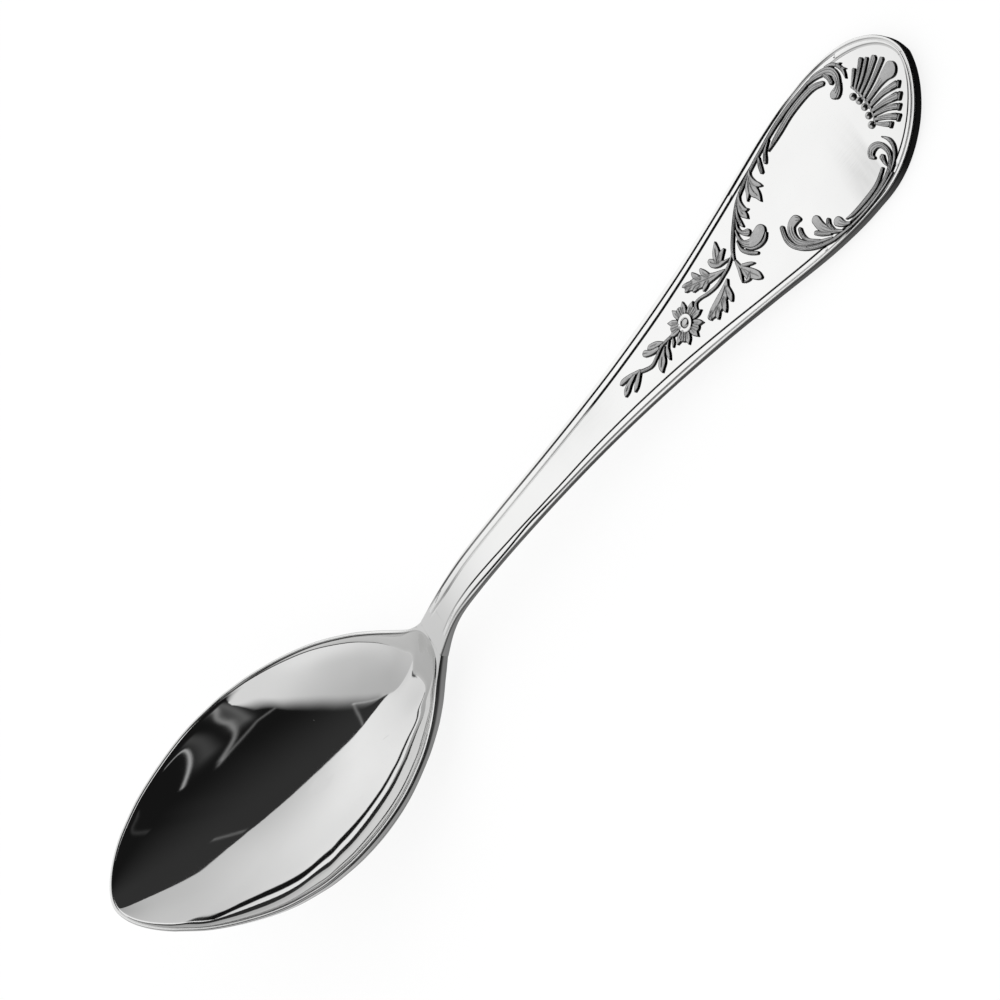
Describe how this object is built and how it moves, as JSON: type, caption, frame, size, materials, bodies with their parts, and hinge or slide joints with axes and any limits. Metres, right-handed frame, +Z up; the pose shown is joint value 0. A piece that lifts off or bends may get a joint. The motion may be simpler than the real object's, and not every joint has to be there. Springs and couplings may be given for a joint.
{
  "type": "rococo table spoon",
  "caption": "Table spoon with a deep oval bowl, a slender neck and a flaring round-ended handle with a threaded border and applied shell, scroll and flower relief.",
  "frame": {"origin": "middle of the bounding box, on the surface the spoon rests on", "axes": "+X runs along the spoon from the bowl's tip to the handle's end, +Z is up with the ornament facing it, +Y completes the right-handed set"},
  "size_m": [0.205, 0.0438, 0.0317],
  "materials": {
    "polished_silver": "bright polished silver",
    "oxidised_silver": "satin silver, darkened in its hollows"
  },
  "bodies": {
    "root": {"bowl": "polished_silver", "handle": "polished_silver", "edge_thread": "polished_silver", "inner_thread_left": "polished_silver", "inner_thread_right": "polished_silver", "inner_thread_end": "polished_silver", "shell": "oxidised_silver", "pearl_1": "polished_silver", "pearl_2": "polished_silver", "pearl_3": "polished_silver", "pearl_4": "polished_silver", "pearl_5": "polished_silver", "left_scroll": "oxidised_silver", "left_scroll_curl": "oxidised_silver", "right_scroll": "oxidised_silver", "right_scroll_curl": "oxidised_silver", "right_outer_band": "oxidised_silver", "right_acanthus": "oxidised_silver", "right_lobed_leaf": "oxidised_silver", "right_bulb": "oxidised_silver", "vine_stem": "oxidised_silver", "vine_leaf_1": "oxidised_silver", "vine_leaf_2": "oxidised_silver", "vine_leaf_3": "oxidised_silver", "vine_leaf_4": "oxidised_silver", "vine_leaf_5": "oxidised_silver", "vine_leaf_6": "oxidised_silver", "left_acanthus": "oxidised_silver", "sprig_stem": "oxidised_silver", "sprig_leaf": "oxidised_silver", "bell_flower": "oxidised_silver", "oak_leaf": "oxidised_silver", "long_leaf": "oxidised_silver", "blossom": "oxidised_silver", "blossom_eye": "polished_silver", "lower_stem": "oxidised_silver", "lower_leaf_left": "oxidised_silver", "lower_leaf_right": "oxidised_silver", "end_leaf": "oxidised_silver"}
  },
  "joints": []
}
